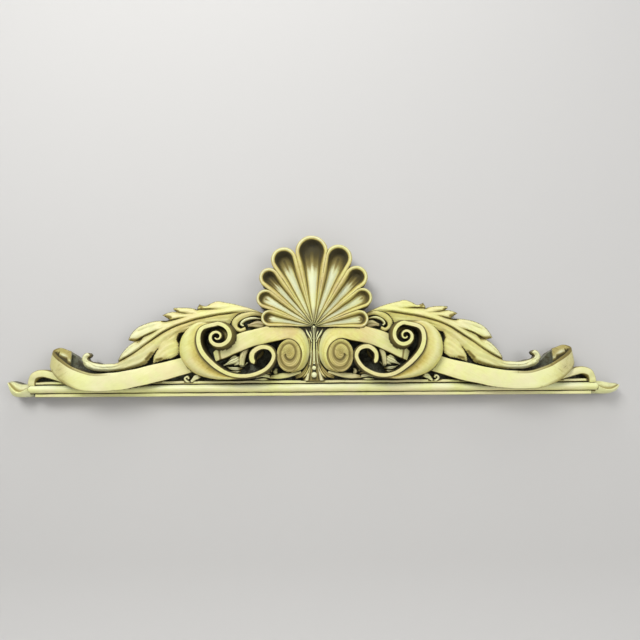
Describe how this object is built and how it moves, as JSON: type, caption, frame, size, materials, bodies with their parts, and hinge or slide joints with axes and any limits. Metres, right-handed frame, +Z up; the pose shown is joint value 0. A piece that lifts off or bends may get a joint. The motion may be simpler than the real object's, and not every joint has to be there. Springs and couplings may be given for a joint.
{
  "type": "carved headpiece",
  "caption": "Long low carved wooden headpiece with a fan shell over paired scrolls, ribbons and leaves on a moulded rail, flat behind for fixing over a door or frame.",
  "frame": {"origin": "on the flat back, on the centre line of the length, 22 mm above the underside of the rail", "axes": "+X to the right along the length, +Z up, and the carved front towards -Y, so that +Y is the outward normal of the back"},
  "size_m": [1.44, 0.076, 0.3779],
  "materials": {
    "gilded_wood": "aged cream and gold finish over carved wood, satin on the high parts and brown in the hollows"
  },
  "bodies": {
    "root": {"carved_headpiece": "gilded_wood"}
  },
  "joints": []
}
